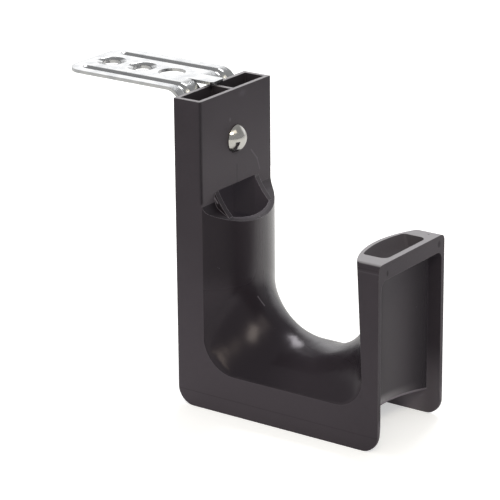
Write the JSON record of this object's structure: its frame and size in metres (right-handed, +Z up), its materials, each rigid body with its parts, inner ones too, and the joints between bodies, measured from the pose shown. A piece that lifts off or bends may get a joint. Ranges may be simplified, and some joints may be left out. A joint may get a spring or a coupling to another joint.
{
  "type": "j hook cable support",
  "caption": "Moulded J-shaped cable support with a double-curved saddle and strap channel, riveted to a pressed steel ceiling angle.",
  "frame": {"origin": "centre of the plain rod hole in the ceiling angle, on its upper face", "axes": "+Z up through the rod hole, +X from the ceiling angle towards the lip of the hook, +Y across the hook"},
  "size_m": [0.1458, 0.0448, 0.1229],
  "materials": {
    "hook_nylon": "satin black moulded nylon",
    "plated_sheet": "bright zinc plate",
    "plated_rivet": "bright zinc plate"
  },
  "bodies": {
    "root": {"hook_body": "hook_nylon", "ceiling_bracket": "plated_sheet", "rivet": "plated_rivet"}
  },
  "joints": []
}
